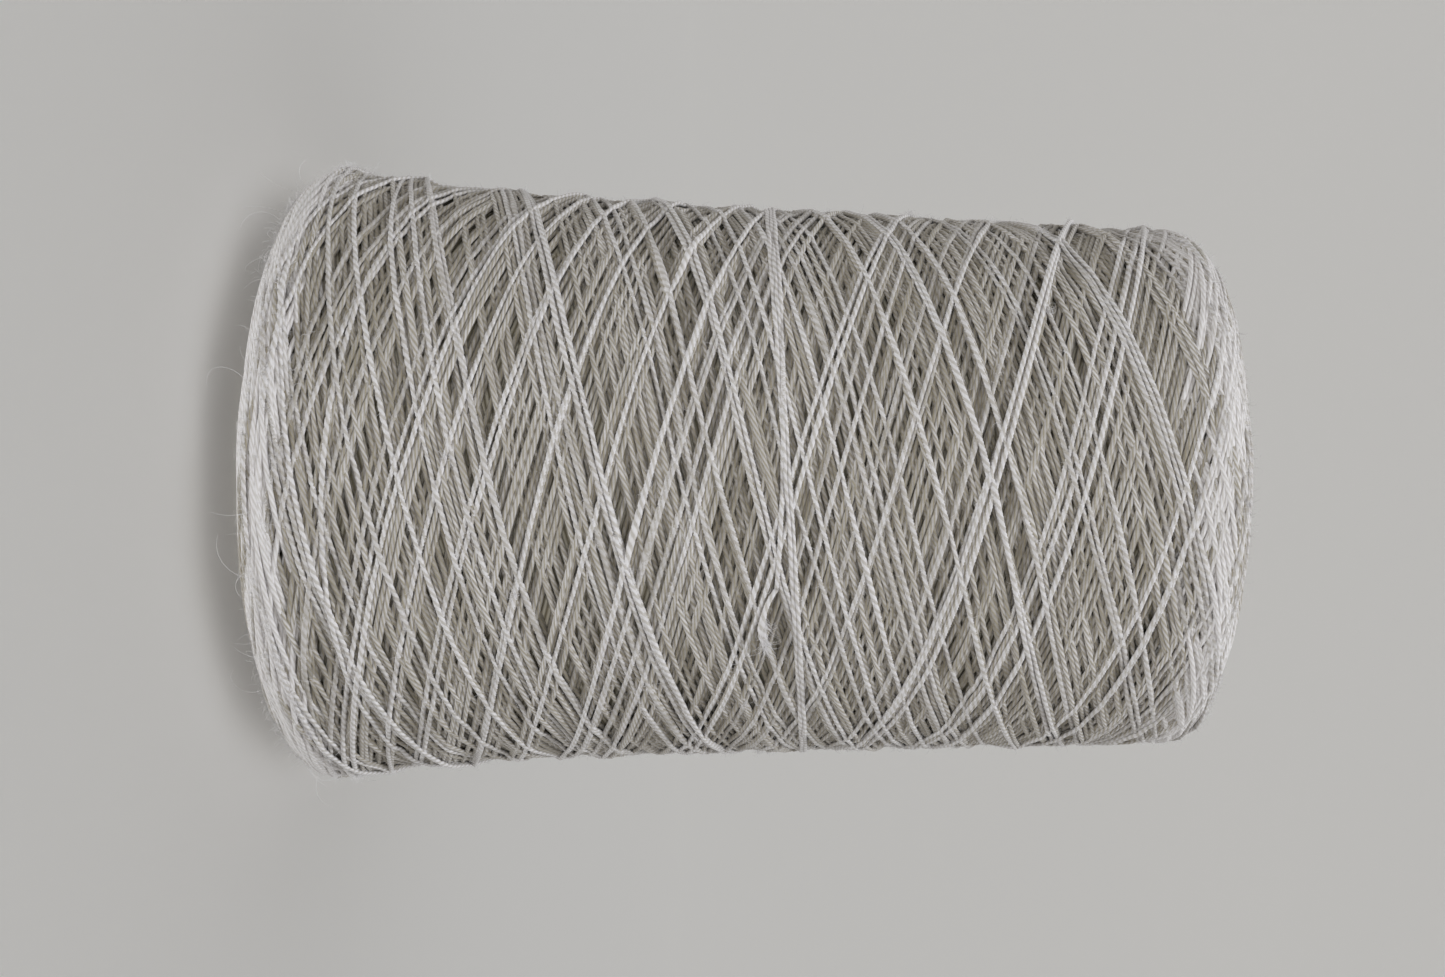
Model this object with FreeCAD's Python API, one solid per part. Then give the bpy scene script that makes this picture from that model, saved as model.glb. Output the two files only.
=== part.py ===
import FreeCAD, Part
import math
import os

# A cross-wound yarn package on a tapered paper cone, in millimetres.
# +Z runs up the package's axis, the cone's base rim stands on z = 0.

os.makedirs("parts", exist_ok=True)

# Paper cone
cone_length = 161.0
cone_taper_deg = 3.5  # half angle, 3 degrees 30 minutes
nose_outer_r = 22.5  # over the surface paper, at the top of the cone
board_t = 1.8
paper_t = 0.25
lip_r = 19.4  # the nose is turned in to a short straight collar
lip_length = 6.0
lip_round = 1.5
lip_run_out = 2.5
base_edge_round = 0.5
paper_start = 1.0  # the surface paper stops short of both cut edges
paper_stop = cone_length - 2.2

# Winding
wind_start = 5.5
traverse = 150.0
wind_stop = wind_start + traverse
core_build = 7.0  # thickness of the first third of the yarn, square to the axis
middle_build = 14.0

# Outside of the full package: a straight taper with a flare that dies away from the base
side_base_r = 51.1
side_taper = 0.042
flare = 4.0
flare_reach = 20.0
base_shoulder = (5.4, 5.9)  # along the axis, towards the axis
nose_shoulder = (5.8, 5.9)
side_stations = 12

# Yarn
yarn_d = 0.87
tail_turns = 3
tail_z = 1.9
wrap_turns = 2
wrap_height = 80.6  # above the bottom of the winding
wrap_gap = 0.05

# Tucked end of the yarn, on the side facing -Y
end_length = 9.0
end_height = 76.8
end_angle_deg = 26.0  # from -Y towards +X
end_tilt_deg = 14.0
end_gap = 0.12


def cone_r(z):
    """Outer radius of the papered cone at height z."""
    return nose_outer_r + (cone_length - z) * math.tan(math.radians(cone_taper_deg))


def side_r(z):
    """Outer radius of the full package at height z, before its shoulders are rounded."""
    h = z - wind_start
    return side_base_r - side_taper * h + flare * math.exp(-h / flare_reach)


def line(a, b):
    return Part.makeLine(FreeCAD.Vector(a[0], 0, a[1]), FreeCAD.Vector(b[0], 0, b[1]))


def arc(a, mid, b):
    points = [FreeCAD.Vector(p[0], 0, p[1]) for p in (a, mid, b)]
    return Part.Arc(*points).toShape()


def outline(points):
    """Straight edges through the points, left open."""
    return [line(a, b) for a, b in zip(points, points[1:])]


def turned(edges):
    """Solid of revolution about Z of a closed outline in the XZ plane."""
    face = Part.Face(Part.Wire(Part.__sortEdges__(edges)))
    return face.revolve(FreeCAD.Vector(0, 0, 0), FreeCAD.Vector(0, 0, 1), 360)


def save(shape, name):
    solids = shape.Solids
    if not solids or not all(solid.isValid() for solid in solids):
        raise RuntimeError(name + " is not a valid solid")
    shape.exportStep("parts/" + name + ".step")
    print(name, "volume mm3", round(sum(solid.Volume for solid in solids), 1))


def cone_board():
    """Rolled board cone: square base edge, nose turned in to a straight collar with a round top."""
    outer_base = cone_r(0) - paper_t
    outer_nose = cone_r(cone_length) - paper_t
    inner_base = outer_base - board_t
    shoulder_z = cone_length - lip_round
    shoulder_r = cone_r(shoulder_z) - paper_t
    collar_end = cone_length - lip_length
    run_out_z = collar_end - lip_run_out
    run_out_r = cone_r(run_out_z) - paper_t - board_t
    edges = outline([
        (inner_base + base_edge_round, 0),
        (outer_base - base_edge_round, 0),
        (cone_r(base_edge_round) - paper_t, base_edge_round),
        (shoulder_r, shoulder_z),
    ])
    top = ((outer_nose + lip_r) / 2, cone_length)
    edges.append(arc((shoulder_r, shoulder_z), top, (lip_r, shoulder_z)))
    edges += outline([
        (lip_r, shoulder_z),
        (lip_r, collar_end),
        (run_out_r, run_out_z),
        (cone_r(base_edge_round) - paper_t - board_t, base_edge_round),
        (inner_base + base_edge_round, 0),
    ])
    return turned(edges)


def cone_surface_paper():
    """Thin outer ply pasted round the board."""
    low, high = cone_r(paper_start), cone_r(paper_stop)
    corners = [
        (low - paper_t, paper_start),
        (low, paper_start),
        (high, paper_stop),
        (high - paper_t, paper_stop),
    ]
    return turned(outline(corners + corners[:1]))


def winding_shell(inner, outer):
    """Inner thicknesses of the winding, parallel to the cone."""
    corners = [
        (cone_r(wind_start) + inner, wind_start),
        (cone_r(wind_start) + outer, wind_start),
        (cone_r(wind_stop) + outer, wind_stop),
        (cone_r(wind_stop) + inner, wind_stop),
    ]
    return turned(outline(corners + corners[:1]))


def shoulder(z_end, r_end, size, way):
    """Quarter ellipse from the flat end of the winding to its side, as one curve."""
    along, inward = size
    steps = 6
    points = []
    for i in range(steps + 1):
        a = math.pi / 2 * i / steps
        z = z_end + way * along * (1 - math.cos(a))
        points.append(FreeCAD.Vector(r_end - inward * (1 - math.sin(a)), 0, z))
    return points


def winding_outer():
    """Last thickness of the winding, with the flared side and both rounded shoulders."""
    base_side_z = wind_start + base_shoulder[0]
    nose_side_z = wind_stop - nose_shoulder[0]
    low = shoulder(wind_start, side_r(base_side_z), base_shoulder, 1)
    high = shoulder(wind_stop, side_r(nose_side_z), nose_shoulder, -1)
    side = []
    for i in range(side_stations + 1):
        z = base_side_z + (nose_side_z - base_side_z) * i / side_stations
        side.append(FreeCAD.Vector(side_r(z), 0, z))
    edges = []
    for points in (low, side, high[::-1]):
        curve = Part.BSplineCurve()
        curve.interpolate(points)
        edges.append(curve.toShape())
    low_in = (cone_r(wind_start) + middle_build, wind_start)
    high_in = (cone_r(wind_stop) + middle_build, wind_stop)
    edges.append(line((low[0].x, low[0].z), low_in))
    edges.append(line(low_in, high_in))
    edges.append(line(high_in, (high[0].x, high[0].z)))
    return turned(edges)


def yarn_band(z_first, turns, surface_r):
    """Turns of yarn side by side on a surface: flat underneath, one round crest for each turn."""
    z_last = z_first + turns * yarn_d
    seat = max(surface_r(z_first), surface_r(z_last)) + wrap_gap
    crest_start = seat + yarn_d / 2
    edges = outline([(crest_start, z_last), (seat, z_last), (seat, z_first), (crest_start, z_first)])
    for i in range(turns):
        z = z_first + i * yarn_d
        crest = (seat + yarn_d, z + yarn_d / 2)
        edges.append(arc((crest_start, z), crest, (crest_start, z + yarn_d)))
    return turned(edges)


def yarn_end():
    """Short straight end of the yarn with round tips, laid on the side of the package."""
    r = yarn_d / 2
    half = end_length / 2 - r
    rod = Part.makeCylinder(r, 2 * half, FreeCAD.Vector(0, 0, -half))
    for z in (-half, half):
        rod = rod.fuse(Part.makeSphere(r, FreeCAD.Vector(0, 0, z)))
    rod = rod.removeSplitter()
    z = wind_start + end_height
    lift = side_r(z) + r + end_gap
    # The rod lies round the package, tipped towards its axis by the tilt, at the -Y side.
    rod.rotate(FreeCAD.Vector(), FreeCAD.Vector(0, 1, 0), 90 - end_tilt_deg)
    rod.translate(FreeCAD.Vector(0, -lift, z))
    rod.rotate(FreeCAD.Vector(), FreeCAD.Vector(0, 0, 1), end_angle_deg)
    return rod


save(cone_board(), "cone_board")
save(cone_surface_paper(), "cone_surface_paper")
save(yarn_band(tail_z, tail_turns, cone_r), "transfer_tail")
save(winding_shell(0, core_build), "winding_core")
save(winding_shell(core_build, middle_build), "winding_middle")
save(winding_outer(), "winding_outer")
save(yarn_band(wind_start + wrap_height - yarn_d * wrap_turns / 2, wrap_turns, side_r), "waist_wrap")
save(yarn_end(), "yarn_end")
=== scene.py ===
import bpy
import math
import numpy as np
from mathutils import Matrix, Vector


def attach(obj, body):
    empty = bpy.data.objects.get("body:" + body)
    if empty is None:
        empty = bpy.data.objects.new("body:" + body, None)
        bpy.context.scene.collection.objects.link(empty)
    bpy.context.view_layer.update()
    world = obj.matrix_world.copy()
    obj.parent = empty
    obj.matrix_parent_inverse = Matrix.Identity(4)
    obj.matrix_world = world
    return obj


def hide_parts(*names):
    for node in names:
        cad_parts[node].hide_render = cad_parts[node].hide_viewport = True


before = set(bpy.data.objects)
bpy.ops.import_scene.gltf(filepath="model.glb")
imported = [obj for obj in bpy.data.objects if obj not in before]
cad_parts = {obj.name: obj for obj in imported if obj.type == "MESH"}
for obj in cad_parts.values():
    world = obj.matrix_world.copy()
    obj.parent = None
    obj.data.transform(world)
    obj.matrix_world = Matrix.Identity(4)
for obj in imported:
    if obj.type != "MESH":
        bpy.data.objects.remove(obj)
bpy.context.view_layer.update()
print("frame loaded:", sorted(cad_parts))

mm = 0.001
full = 2 * math.pi


# Shared helpers

def linearColour(hexCode):
    # sRGB hex turned to linear, channel by channel, with full alpha
    channels = [int(hexCode[i:i + 2], 16) / 255 for i in (1, 3, 5)]
    return [c / 12.92 if c <= 0.04045 else ((c + 0.055) / 1.055) ** 2.4 for c in channels] + [1.0]


def addNode(material, kind, settings=None, inputs=None):
    # One node with its settings, among them a ramp's stops as (place, hex); an input is a value, or a
    # (node, output) pair to link
    node = material.node_tree.nodes.new("ShaderNode" + kind)
    for key, value in (settings or {}).items():
        if key != "stops":
            setattr(node, key, value)
            continue
        for element, (place, hexCode) in zip(node.color_ramp.elements, value):
            element.position, element.color = place, linearColour(hexCode)
    for key, value in (inputs or {}).items():
        if isinstance(value, tuple) and isinstance(value[0], bpy.types.Node):
            material.node_tree.links.new(value[0].outputs[value[1]], node.inputs[key])
        else:
            node.inputs[key].default_value = value
    return node


def addObject(name, data):
    thing = bpy.data.objects.new(name, data)
    bpy.context.scene.collection.objects.link(thing)
    return thing


multiply, multiplyAdd = {"operation": "MULTIPLY"}, {"operation": "MULTIPLY_ADD"}


def newMaterial(name):
    material = bpy.data.materials.new(name)
    material.use_nodes = True
    material.node_tree.nodes.clear()
    return material


def finishMaterial(material, colour, height, strength, reliefMm, looks):
    # What every finish here ends with: relief, shader and output
    bump = addNode(material, "Bump",
                   inputs={"Height": height, "Strength": strength, "Distance": reliefMm * mm})
    shader = addNode(material, "BsdfPrincipled",
                     inputs={"Base Color": colour, "Normal": (bump, "Normal"), **looks})
    addNode(material, "OutputMaterial", inputs={"Surface": (shader, "BSDF")})
    return material


def meshPiece(name, points, corners, sizes, material, uv, tone=None):
    # A piece of thread: points in mm, the flat list of the faces' point numbers, and each face's count
    mesh = bpy.data.meshes.new(name)
    mesh.vertices.add(len(points))
    mesh.vertices.foreach_set("co", (points * mm).astype(np.float32).ravel())
    mesh.loops.add(len(corners))
    mesh.loops.foreach_set("vertex_index", corners.astype(np.int32))
    mesh.polygons.add(len(sizes))
    starts = np.concatenate([[0], np.cumsum(sizes)[:-1]])
    mesh.polygons.foreach_set("loop_start", starts.astype(np.int32))
    mesh.update(calc_edges=True)
    layer = mesh.uv_layers.new(name="threadUv")
    layer.uv.foreach_set("vector", uv.astype(np.float32).ravel())
    if tone is not None:
        layer = mesh.attributes.new("tone", "FLOAT", "POINT")
        layer.data.foreach_set("value", tone.astype(np.float32))
    mesh.shade_smooth()
    mesh.materials.append(material)
    piece = addObject(name, mesh)
    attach(piece, "root")
    return piece


def unit(vectors):
    # Each vector over its own length
    return vectors / np.maximum(np.linalg.norm(vectors, axis=-1, keepdims=True), 1e-9)


def polar(radius, angle, height):
    # Points at a radius from the axis, an angle round it and a height along it
    return np.stack(np.broadcast_arrays(radius * np.cos(angle), radius * np.sin(angle), height), -1)


def revolve(radii, heights, steps, closed):
    # Surface of revolution: a ring of points at each radius and height, and quads between neighbouring rings
    points = polar(radii[:, None], np.arange(steps) / steps * full, heights[:, None]).reshape(-1, 3)
    row = np.arange(len(radii) - (not closed))[:, None] * steps
    above = (row + steps) % len(points)
    col = np.arange(steps)[None]
    nxt = (col + 1) % steps
    return points, np.stack([row + col, row + nxt, above + nxt, above + col], -1).reshape(-1, 4)


def threadEnds(count, perThread):
    # Number of the last point of each thread, where all have as many
    return np.arange(1, count + 1) * perThread - 1


# Sizes read from the frame, in mm

def nodePoints(node):
    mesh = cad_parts[node].data
    flat = np.zeros(len(mesh.vertices) * 3)
    mesh.vertices.foreach_get("co", flat)
    return flat.reshape(-1, 3) / mm


def nodeProfile(node):
    # Radius and height of each point of a turned CAD node
    points = nodePoints(node)
    return np.hypot(points[:, 0], points[:, 1]), points[:, 2]


windingRadii, windingHeights = nodeProfile("winding_outer")
paperRadii, paperHeights = nodeProfile("cone_surface_paper")
windingLow, windingHigh = windingHeights.min(), windingHeights.max()
windingLength = windingHigh - windingLow
coneLine = np.polyfit(paperHeights, paperRadii, 1)
paperHalf = 0.125


def coneRadius(z):
    # Outside of the papered cone: the line through the paper's points lies half its thickness inside
    return np.polyval(coneLine, z) + paperHalf


def nodeBuild(node):
    # Thickness of yarn on the cone at the outside of a winding shell
    radii, heights = nodeProfile(node)
    return float((radii - coneRadius(heights)).max())


coreBuild = nodeBuild("winding_core")
middleBuild = nodeBuild("winding_middle")

# Outside of the full winding: its points well clear of the middle shell, in order of height above its bottom
clearOfMiddle = 0.5
onOutside = windingRadii > coneRadius(windingHeights) + middleBuild + clearOfMiddle
bandHeights, firstPoint = np.unique(np.round(windingHeights[onOutside] - windingLow, 3), return_index=True)
bandOuter = windingRadii[onOutside][firstPoint]


def outerRadius(height):
    return np.interp(height, bandHeights, bandOuter)


print("winding from", round(float(windingLow), 2), "to", round(float(windingHigh), 2), "mm")


# The stage: a pale sweep, its floor level with the cone's foot

stageSet = {
    "floorRadius": 1.2, "sweepRadius": 0.8, "wallHeight": 1.15,  # metres
    "steps": 96, "bendSteps": 16,
    "colour": "#EFEEEC", "glow": 0.12,  # the glow keeps it even where the panels don't light it
}


def paleSweep(settings):
    # Surface of revolution: level floor, a quarter circle, then an upright wall
    floorRadius, bend = settings["floorRadius"], settings["sweepRadius"]
    turn = np.linspace(0, math.pi / 2, settings["bendSteps"] + 1)
    radii = np.concatenate([[0.0], floorRadius + bend * np.sin(turn), [floorRadius + bend]])
    heights = np.concatenate([[0.0], bend * (1 - np.cos(turn)), [settings["wallHeight"]]])
    points, faces = revolve(radii, heights, settings["steps"], False)
    mesh = bpy.data.meshes.new("paleSweep")
    mesh.from_pydata(points.tolist(), [], faces[:, ::-1].tolist())
    mesh.shade_smooth()
    floor = addObject("paleSweep", mesh)
    # Board under matt emulsion paint: one even tone with no shine
    material = newMaterial("matt painted board")
    shader = addNode(material, "BsdfPrincipled",
                     inputs={"Base Color": linearColour(settings["colour"]), "Roughness": 0.85,
                             "Emission Color": linearColour(settings["colour"]),
                             "Emission Strength": settings["glow"]})
    addNode(material, "OutputMaterial", inputs={"Surface": (shader, "BSDF")})
    mesh.materials.append(material)


paleSweep(stageSet)

# Camera, level with the middle of the winding and rolled so that the nose points to the right
cameraSet = {
    "distance": 258.8, "aboveWinding": 78.25, "sensor": 36.0,  # mm
    "yaw": -0.033, "pitch": -0.006, "roll": 0.017,
    "focalShare": 1450 / 1445,  # focal length over the picture's width
}


def placeCamera(settings):
    # Right, up and ahead turned in order by yaw, pitch and roll
    along, upward, depth = Vector((0, 0, 1)), Vector((-1, 0, 0)), Vector((0, 1, 0))
    yaw, pitch, roll = settings["yaw"], settings["pitch"], settings["roll"]
    right = math.cos(yaw) * along - math.sin(yaw) * depth
    ahead = math.sin(yaw) * along + math.cos(yaw) * depth
    up = math.cos(pitch) * upward - math.sin(pitch) * ahead
    ahead = math.sin(pitch) * upward + math.cos(pitch) * ahead
    right, up = math.cos(roll) * right + math.sin(roll) * up, math.cos(roll) * up - math.sin(roll) * right
    data = bpy.data.cameras.new("camera")
    data.sensor_width = settings["sensor"]
    data.lens = settings["focalShare"] * settings["sensor"]
    data.clip_start = 0.01
    camera = addObject("camera", data)
    turn = Matrix((right, up, -ahead)).transposed()
    place = Vector((0, -settings["distance"], windingLow + settings["aboveWinding"])) * mm
    camera.matrix_world = Matrix.Translation(place) @ turn.to_4x4()
    bpy.context.scene.camera = camera


placeCamera(cameraSet)

# Soft studio light: a panel at each end of the package, weaker ones in front and behind, and a pale room. The
# panels light the pieces only. The one at the base end is lower than the floor, so only the pieces block its
# light, and the base face is left out of it
lightSet = {
    "front": {"place": (0.02, -1.05, 0.10), "size": 0.40, "watts": 2.3, "tint": (0.90, 0.95, 1.0)},
    "noseSide": {"place": (0.0, -0.42, 1.02), "size": 0.40, "watts": 7.2, "tint": (0.90, 0.945, 1.0)},
    "baseSide": {"place": (0.0, -0.42, -0.86), "size": 0.40, "watts": 5.4, "tint": (0.90, 0.95, 1.0),
                 "belowFloor": True},
    "back": {"place": (0.15, 0.95, 0.45), "size": 0.40, "watts": 2.4, "tint": (0.92, 0.96, 1.0)},
    "room": 0.42,
}
litPieces = bpy.data.collections.new("lit pieces")  # both are filled at the end
litSides = bpy.data.collections.new("lit pieces without the base face")


def placeLights(settings):
    target = Vector((0, 0, (windingLow + windingHigh) / 2)) * mm
    for name in ("front", "noseSide", "baseSide", "back"):
        panel = settings[name]
        data = bpy.data.lights.new(name, "AREA")
        data.energy, data.size, data.color = panel["watts"], panel["size"], panel["tint"]
        light = addObject(name, data)
        light.location = panel["place"]
        light.light_linking.receiver_collection = litPieces
        if panel.get("belowFloor"):
            light.light_linking.receiver_collection = litSides
            light.light_linking.blocker_collection = litPieces
        light.rotation_euler = (target - light.location).to_track_quat("-Z", "Y").to_euler()
    world = bpy.data.worlds.new("room")
    bpy.context.scene.world = world
    world.use_nodes = True
    background = world.node_tree.nodes["Background"]
    background.inputs["Color"].default_value = (1, 1, 1, 1)
    background.inputs["Strength"].default_value = settings["room"]


placeLights(lightSet)
bpy.context.scene.view_settings.view_transform = "Standard"
print("stage, camera and lights are up")


# The thread: undyed two-ply, spun and plied

threadSet = {
    "across": 0.84,  # mm, as it lies
    "thick": 0.76,  # pressed a little flat by its neighbours
    "pitch": 3.2,  # one full turn of the ply twist
    # groove: painted shade, the colour between the plies
    "light": "#D8D4D3", "dark": "#928B81", "groove": "#948A74",
    "cloudsPerMm": 0.24, "mottle": 0.8,  # uneven colour along the yarn
    "streaksRound": 26.0, "streaksPerMm": 1.1, "hair": 0.4,  # fibres, and their height as a share of a ply's
    "swellEvery": 9, "swell": 0.06, "slubs": 0.01,  # uneven thickness, and the share of thick places
    "slubSize": (0.3, 0.6), "swellLimits": (0.75, 1.7),
    # painted light: the loose last strokes, lying on the outside, are made this much lighter
    "looseLitTone": 0.2,
    "shade": 0.20,  # painted shade: tone taken off, towards the warm dark colour, for each mm of depth from shadeFrom on
    "shadeFrom": 1.0, "shadeLimits": (-0.8, 2.0), "shadeEase": 6,  # eased out this near to the ends
}


def spunThread(name, settings, grooveShare, reliefMm):
    # Undyed spun two-ply thread: matt and slightly hairy, with a soft sheen in grazing light, and painted
    # shade, darker and warmer, in the grooves between its plies. Its fibres are finer than could show, so they
    # are drawn as streaks a tenth of its width
    material = newMaterial(name)
    uv = addNode(material, "UVMap", {"uv_map": "threadUv"})
    split = addNode(material, "SeparateXYZ", inputs={"Vector": (uv, "UV")})
    # u counts turns round the plies, so its cosine at double rate is high on a ply and low between two
    turns = addNode(material, "Math", multiply, {0: (split, "X"), 1: 2 * full})
    plyWave = addNode(material, "Math", {"operation": "COSINE"}, {0: (turns, 0)})
    ply = addNode(material, "MapRange", {"interpolation_type": "SMOOTHSTEP"},
                  {"Value": (plyWave, 0), "From Min": -1.0, "From Max": 0.7, "To Min": 1 - grooveShare})
    place = addNode(material, "TexCoord")
    clouds = addNode(material, "TexNoise",
                     inputs={"Vector": (place, "Object"), "Scale": settings["cloudsPerMm"] / mm,
                             "Detail": 5.0, "Roughness": 0.65})
    tone = addNode(material, "Attribute", {"attribute_name": "tone"})
    mixTone = addNode(material, "Math", multiplyAdd,
                      {0: (clouds, "Fac"), 1: settings["mottle"], 2: (tone, "Fac")})
    body = addNode(material, "ValToRGB",
                   {"stops": [(0.2, settings["dark"]), (0.9, settings["light"])]}, {"Fac": (mixTone, 0)})
    # painted shade: the groove colour, mixed in where the ply wave is low, between the plies
    base = addNode(material, "Mix", {"data_type": "RGBA"},
                   {"Factor": (ply, "Result"), 6: linearColour(settings["groove"]), 7: (body, "Color")})
    stretch = addNode(material, "Mapping", inputs={
        "Vector": (uv, "UV"), "Scale": (settings["streaksRound"], settings["streaksPerMm"], 1.0)})
    fibres = addNode(material, "TexNoise",
                     inputs={"Vector": (stretch, "Vector"), "Scale": 1.0, "Detail": 3.0, "Roughness": 0.7})
    relief = addNode(material, "Math", multiplyAdd,
                     {0: (fibres, "Fac"), 1: settings["hair"], 2: (ply, "Result")})
    return finishMaterial(material, (base, 2), (relief, 0), 0.7, reliefMm, {
        "Roughness": 0.85, "Specular IOR Level": 0.3, "Sheen Weight": 0.2, "Sheen Roughness": 0.45})


# The top threads have their plies in the mesh. On the ones below they are drawn, deeper, with more painted
# shade in the grooves, and on the shoulders and end faces the thread is worn fluffy, so that they hardly show
threadMaterial = spunThread("spun two-ply thread", threadSet, grooveShare=0.48, reliefMm=0.05)
packedMaterial = spunThread("spun two-ply thread, packed", threadSet, grooveShare=0.80, reliefMm=0.12)
brushedMaterial = spunThread("spun two-ply thread, brushed", threadSet, grooveShare=0.35, reliefMm=0.06)


# The winding: the guide runs up and down while the package turns, and each stroke lies on those before it

windingSet = {
    "strokes": 520,
    "hidden": 0.34,  # share of the strokes, the first ones, that later ones cover
    "twistedStrokes": 44,  # the last strokes, which get their plies as real shape
    "turnsPerDouble": 3.70,  # mean turns of the package while the guide goes up and back
    "runs": (10, 24),  # double strokes before the turns change
    "fractions": [(11, 3), (18, 5), (15, 4), (11, 3)],  # turns in so many double strokes
    "beside": (0.0034, 0.0046),  # turns off the fraction, so that threads lie side by side
    "slip": 0.0022, "runOff": 0.12,
    "trials": 40, "phaseCells": 120, "fade": 0.97,
    "looseDoubles": 11,  # the last double strokes lie singly, far apart
    "looseTurns": (3.72, 0.05), "looseShort": (0.3, 14), "looseShare": (0.5, 1),
    "turnBackBase": (1.3, 2.9),  # radians over which the thread turns back at the base, least and most
    "turnBackNose": 1.2,
    "halfOff": 0.002,  # spread of the half way point of a double stroke
    "shortBase": 2.0, "shortNose": 1.2,  # mean mm by which a stroke falls short of its end
    "earlyBase": (0.10, 4, 11), "earlyNose": (0.05, 3, 7),  # share that turns back early, and by how many mm
    "noseFrom": 0.4, "noseOver": 0.2,  # share of the height where the nose's turn-back takes over
    "wander": 0.2, "wanderCells": 60, "wanderEase": 8, "wanderLeast": 0.15,
    "lift": 0.22,  # what one crossing adds to the height, the thread being soft
    "cellsRound": 800, "cellHeight": 0.2, "edgeRows": 20,
    "firmness": 0.40,  # 1 where a thread bridges every hollow, 0 where it sinks into each
    "evenOver": 8.0,  # mm over which the outside is levelled
    "shoulder": 1.6, "crests": 90,  # mm left out at each end, and the percentile that counts as the outside
    "seed": 1,
}
cellHeight, cellsRound, edgeRows = (windingSet[key] for key in ("cellHeight", "cellsRound", "edgeRows"))
meanRadius = float(outerRadius(windingLength / 2))
cellAngle = full / cellsRound
windSlope = windingLength / (math.pi * windingSet["turnsPerDouble"])
cellArc = meanRadius * cellAngle
leanCosine = math.cos(math.atan(windSlope / meanRadius))


def boxSmooth(values, width):
    # Running mean over an angle: it turns a sharp corner of the path into a parabola
    count = int(width / cellAngle) | 1
    total = np.concatenate([[0], np.cumsum(np.pad(values, count // 2, mode="edge"))])
    return (total[count:] - total[:-count]) / count


def phases(first, turns):
    # Where each stroke crosses the middle of the package, in turns: a quarter and three quarters of the way
    begin = first + np.concatenate([[0], np.cumsum(turns)[:-1]])
    return np.stack([begin + turns * 0.25, begin + turns * 0.75]) % 1


def doubleTurns(settings, rng):
    # Turns of the package for each double stroke: a simple fraction and a little more or less, so each thread
    # lies beside the one laid 3, 4 or 5 doubles before. The fraction changes from run to run, and of some trial
    # runs the one is kept that falls where the package is thinnest
    doubles = settings["strokes"] // 2
    covered = np.zeros((2, settings["phaseCells"]))
    turns = np.zeros(0)
    while len(turns) < doubles:
        length = int(rng.integers(*settings["runs"]))
        best = None
        for trial in range(settings["trials"]):
            whole, parts = settings["fractions"][rng.integers(len(settings["fractions"]))]
            side = rng.choice([-1, 1])
            beside = side * rng.uniform(*settings["beside"]) * 3 / parts
            run = np.full(length, whole / parts + beside)
            run += settings["slip"] * rng.standard_normal(length)
            run[:2] += rng.uniform(-settings["runOff"], settings["runOff"])
            place = (phases(turns.sum(), run) * settings["phaseCells"]).astype(int)
            score = covered[0, place[0]].mean() + covered[1, place[1]].mean()
            if best is None or score < best[0]:
                best = (score, run, place)
        turns = np.concatenate([turns, best[1]])
        for way in (0, 1):
            laid = np.bincount(best[2][way], minlength=settings["phaseCells"]).astype(float)
            near = laid + np.roll(laid, 1) + np.roll(laid, -1)
            covered[way] = covered[way] * settings["fade"] + near
    loose = settings["looseDoubles"]
    turns = turns[:doubles]
    mean, spread = settings["looseTurns"]
    turns[-loose:] = mean + spread * rng.standard_normal(loose)
    return turns


def guidePath(settings):
    # Zigzag between the two ends, angle and height, with its corners rounded; one sample for each cell round.
    # Each corner overshoots its end by the quarter of the turn-back that its rounding takes off again
    rng = np.random.default_rng(settings["seed"])
    turns = doubleTurns(settings, rng)
    doubles, loose = len(turns), settings["looseDoubles"]
    start = np.concatenate([[0], np.cumsum(turns)])[:-1] * full
    half = start + turns * math.pi * (1 + settings["halfOff"] * rng.standard_normal(doubles))
    early, least, most = settings["earlyBase"]
    lowShort = rng.exponential(settings["shortBase"], doubles)
    lowShort += (rng.random(doubles) < early) * rng.uniform(least, most, doubles)
    lowShort[-loose:] = rng.uniform(*settings["looseShort"], loose)
    early, least, most = settings["earlyNose"]
    highShort = rng.exponential(settings["shortNose"], doubles)
    highShort += (rng.random(doubles) < early) * rng.uniform(least, most, doubles)
    share = rng.random(doubles)
    share[-loose:] = rng.uniform(*settings["looseShare"], loose)
    narrow, wide = settings["turnBackBase"]
    overshootLow = windSlope * (narrow + (wide - narrow) * share) / 4
    overshootHigh = windSlope * settings["turnBackNose"] / 4
    corners = np.stack([start, half], 1).ravel()
    heights = np.stack([lowShort - overshootLow, windingLength + overshootHigh - highShort], 1).ravel()
    cell = np.arange(int(corners[0] / cellAngle) + 1, int(corners[-1] / cellAngle))
    height = np.interp(cell * cellAngle, corners, heights)
    nose = np.clip((height / windingLength - settings["noseFrom"]) / settings["noseOver"], 0, 1)
    shareAt = np.interp(cell * cellAngle, start, share)
    atBase = boxSmooth(height, narrow) * (1 - shareAt) + boxSmooth(height, wide) * shareAt
    height = atBase * (1 - nose) + boxSmooth(height, settings["turnBackNose"]) * nose
    every = settings["wanderCells"]
    wander = settings["wander"] * rng.standard_normal(len(cell) // every + 3)
    freedom = np.minimum(height, windingLength - height) / settings["wanderEase"]
    freedom = np.clip(freedom, settings["wanderLeast"], 1)
    height = height + freedom * np.interp(np.arange(len(cell)) / every, np.arange(len(wander)), wander)
    stroke = np.searchsorted(corners, cell * cellAngle, side="right") - 1
    return cell, height, stroke


reliefRows = int(windingLength / cellHeight) + 2 * edgeRows
relief = np.zeros((reliefRows, cellsRound))
sagReach, softReach, laneReach = 34, 5, 2  # in cells
sagCurve = (np.arange(-sagReach, sagReach + 1) * cellArc) ** 2 / (2 * meanRadius)
softKernel = np.exp(-0.5 * (np.arange(-softReach, softReach + 1) / 2.0) ** 2)
softKernel /= softKernel.sum()


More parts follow.
